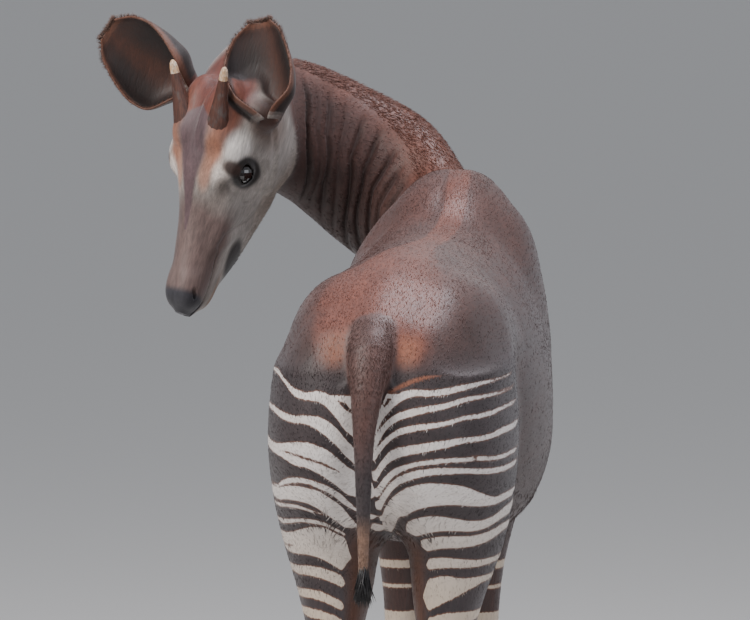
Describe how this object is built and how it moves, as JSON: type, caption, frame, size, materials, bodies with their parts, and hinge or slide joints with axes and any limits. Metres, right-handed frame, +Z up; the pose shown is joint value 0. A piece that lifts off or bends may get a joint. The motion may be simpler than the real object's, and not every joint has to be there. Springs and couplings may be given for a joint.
{
  "type": "okapi",
  "caption": "Life-size okapi model standing on all fours, neck bent round to its left so that it looks back past its rump; large cupped ears, short horns, hanging tail.",
  "frame": {"origin": "centre of the box round the whole animal, at floor level under its hooves", "axes": "+Z up, +Y the way the trunk faces, +X to the animal's right; the head is turned back towards -Y"},
  "size_m": [0.964, 1.4502, 1.8076],
  "materials": {
    "hide": "short glossy hair over skin",
    "eye": "wet gloss",
    "hoof": "dull horn",
    "bare_horn": "worn, slightly polished",
    "tail_hair": "coarse hair"
  },
  "bodies": {
    "root": {"torso": "hide", "neck_lower": "hide", "neck_upper": "hide", "head": "hide", "ear_left": "hide", "ear_right": "hide", "eye_left": "eye", "eye_right": "eye", "horn_left": "hide", "horn_right": "hide", "horn_tip_left": "bare_horn", "horn_tip_right": "bare_horn", "fore_leg_left": "hide", "fore_leg_right": "hide", "fore_cannon_left": "hide", "fore_cannon_right": "hide", "hind_leg_left": "hide", "hind_leg_right": "hide", "hind_cannon_left": "hide", "hind_cannon_right": "hide", "fore_hoof_left_inner": "hoof", "fore_hoof_left_outer": "hoof", "fore_hoof_right_inner": "hoof", "fore_hoof_right_outer": "hoof", "hind_hoof_left_inner": "hoof", "hind_hoof_left_outer": "hoof", "hind_hoof_right_inner": "hoof", "hind_hoof_right_outer": "hoof", "tail": "hide", "tail_tuft": "tail_hair"}
  },
  "joints": []
}
